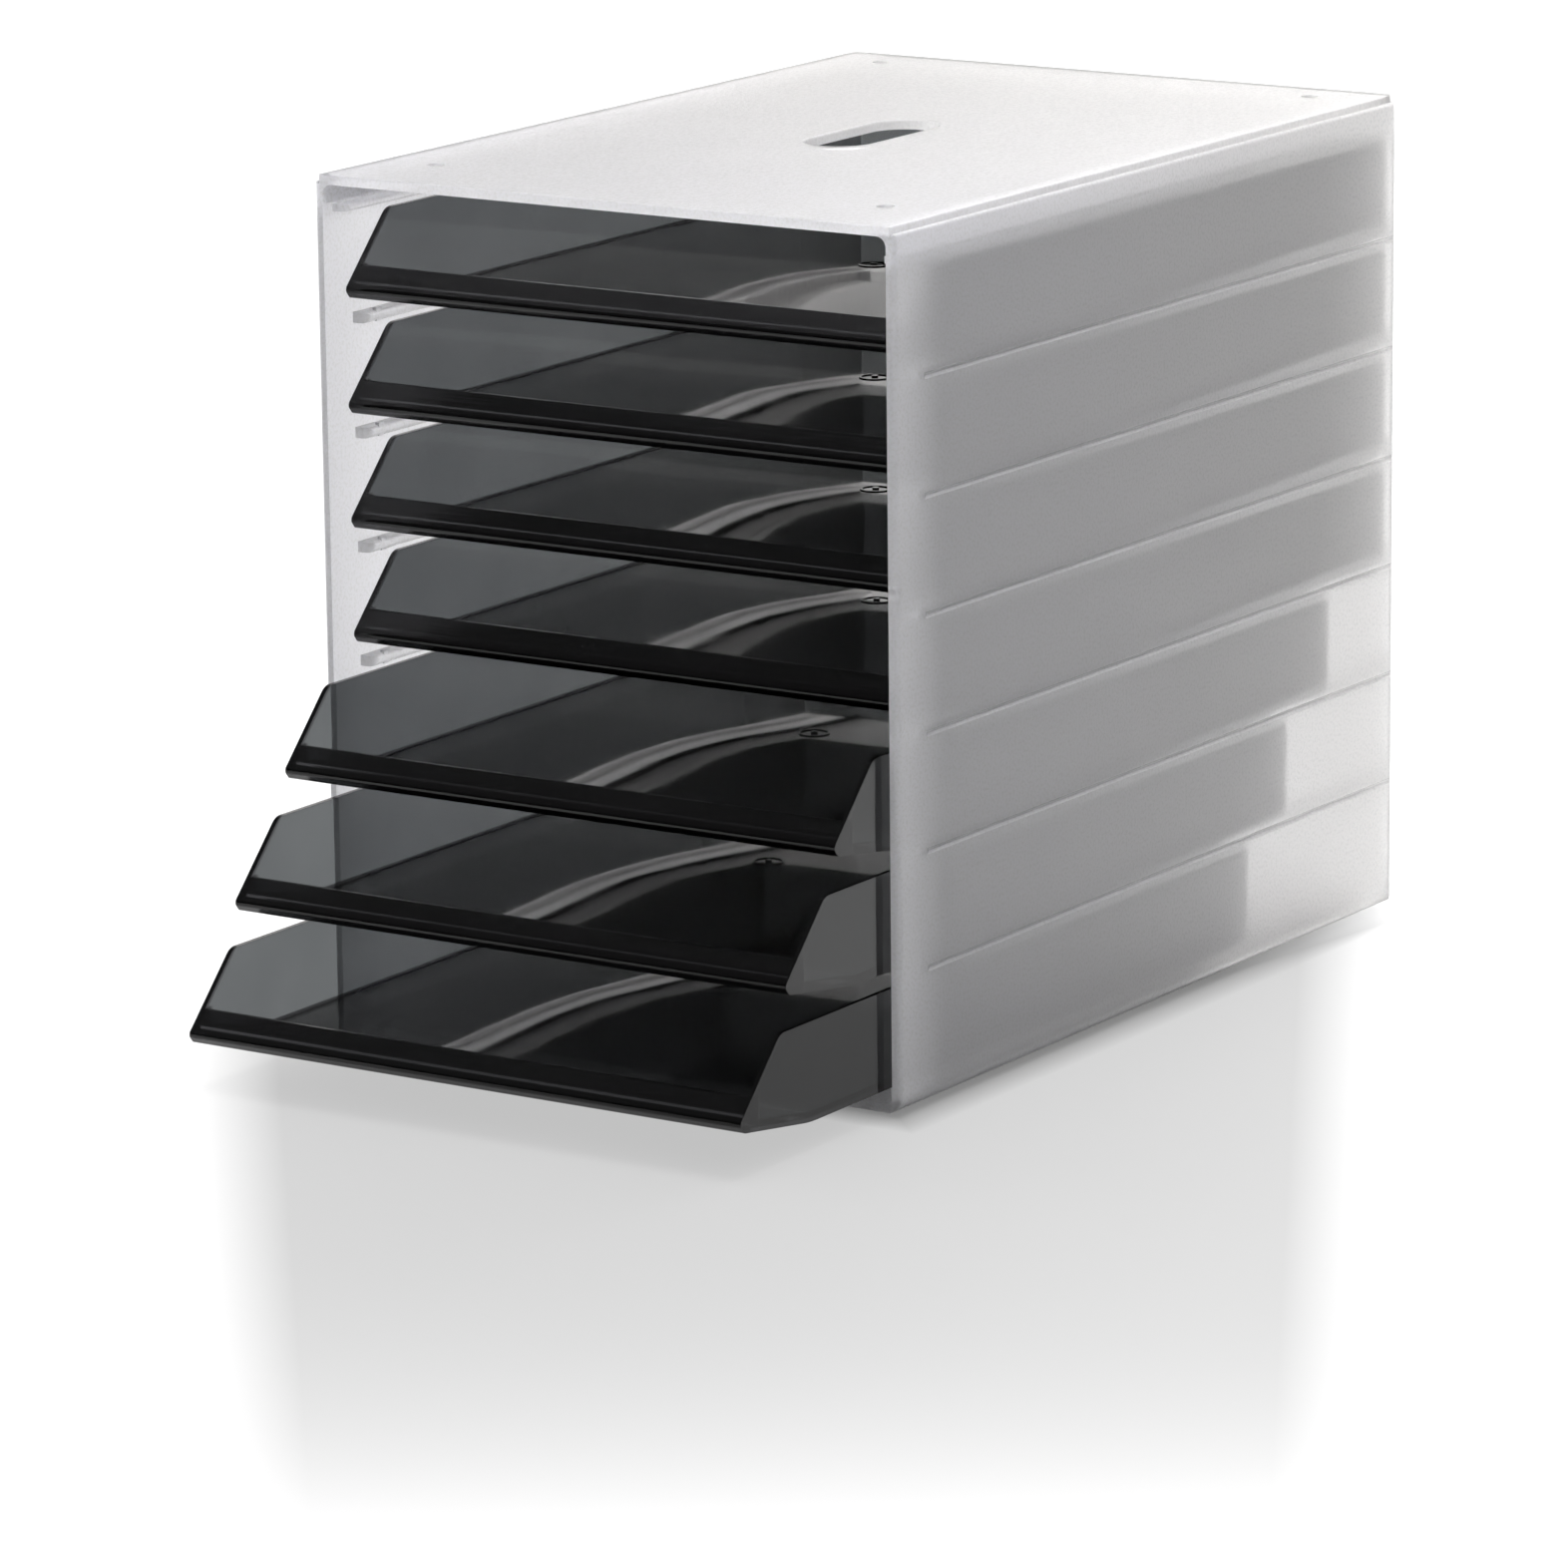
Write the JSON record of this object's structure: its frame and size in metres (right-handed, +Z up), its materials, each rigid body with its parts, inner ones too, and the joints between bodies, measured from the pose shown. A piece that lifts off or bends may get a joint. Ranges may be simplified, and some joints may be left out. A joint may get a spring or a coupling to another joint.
{
  "type": "desk drawer box",
  "caption": "Open-fronted desktop drawer box: a frosted housing with smoke-grey open trays that slide out on side runners, and a carry slot in its lid.",
  "frame": {"origin": "middle of the housing's footprint, on the surface that the feet stand on", "axes": "+X to the right seen from the open front, +Y from the front to the back, +Z up"},
  "size_m": [0.25, 0.4606, 0.322],
  "materials": {
    "frosted_plastic": "fine satin texture, translucent",
    "smoke_plastic": "polished, see-through smoke grey",
    "foot_rubber": "matt"
  },
  "bodies": {
    "housing": {"body": "frosted_plastic", "lid": "frosted_plastic", "foot_front_left": "foot_rubber", "foot_back_left": "foot_rubber", "foot_front_right": "foot_rubber", "foot_back_right": "foot_rubber"},
    "drawer_1": {"drawer_1": "smoke_plastic"},
    "drawer_2": {"drawer_2": "smoke_plastic"},
    "drawer_3": {"drawer_3": "smoke_plastic"},
    "drawer_4": {"drawer_4": "smoke_plastic"},
    "drawer_5": {"drawer_5": "smoke_plastic"},
    "drawer_6": {"drawer_6": "smoke_plastic"},
    "drawer_7": {"drawer_7": "smoke_plastic"}
  },
  "joints": [
    {"name": "drawer_1_slide", "type": "slide", "parent": "housing", "child": "drawer_1", "axis": [0, -1, 0], "range_m": [0, 0.25]},
    {"name": "drawer_2_slide", "type": "slide", "parent": "housing", "child": "drawer_2", "axis": [0, -1, 0], "range_m": [0, 0.25]},
    {"name": "drawer_3_slide", "type": "slide", "parent": "housing", "child": "drawer_3", "axis": [0, -1, 0], "range_m": [0, 0.25]},
    {"name": "drawer_4_slide", "type": "slide", "parent": "housing", "child": "drawer_4", "axis": [0, -1, 0], "range_m": [0, 0.25]},
    {"name": "drawer_5_slide", "type": "slide", "parent": "housing", "child": "drawer_5", "axis": [0, -1, 0], "range_m": [-0.0445, 0.2055]},
    {"name": "drawer_6_slide", "type": "slide", "parent": "housing", "child": "drawer_6", "axis": [0, -1, 0], "range_m": [-0.0768, 0.1732]},
    {"name": "drawer_7_slide", "type": "slide", "parent": "housing", "child": "drawer_7", "axis": [0, -1, 0], "range_m": [-0.1065, 0.1435]}
  ]
}
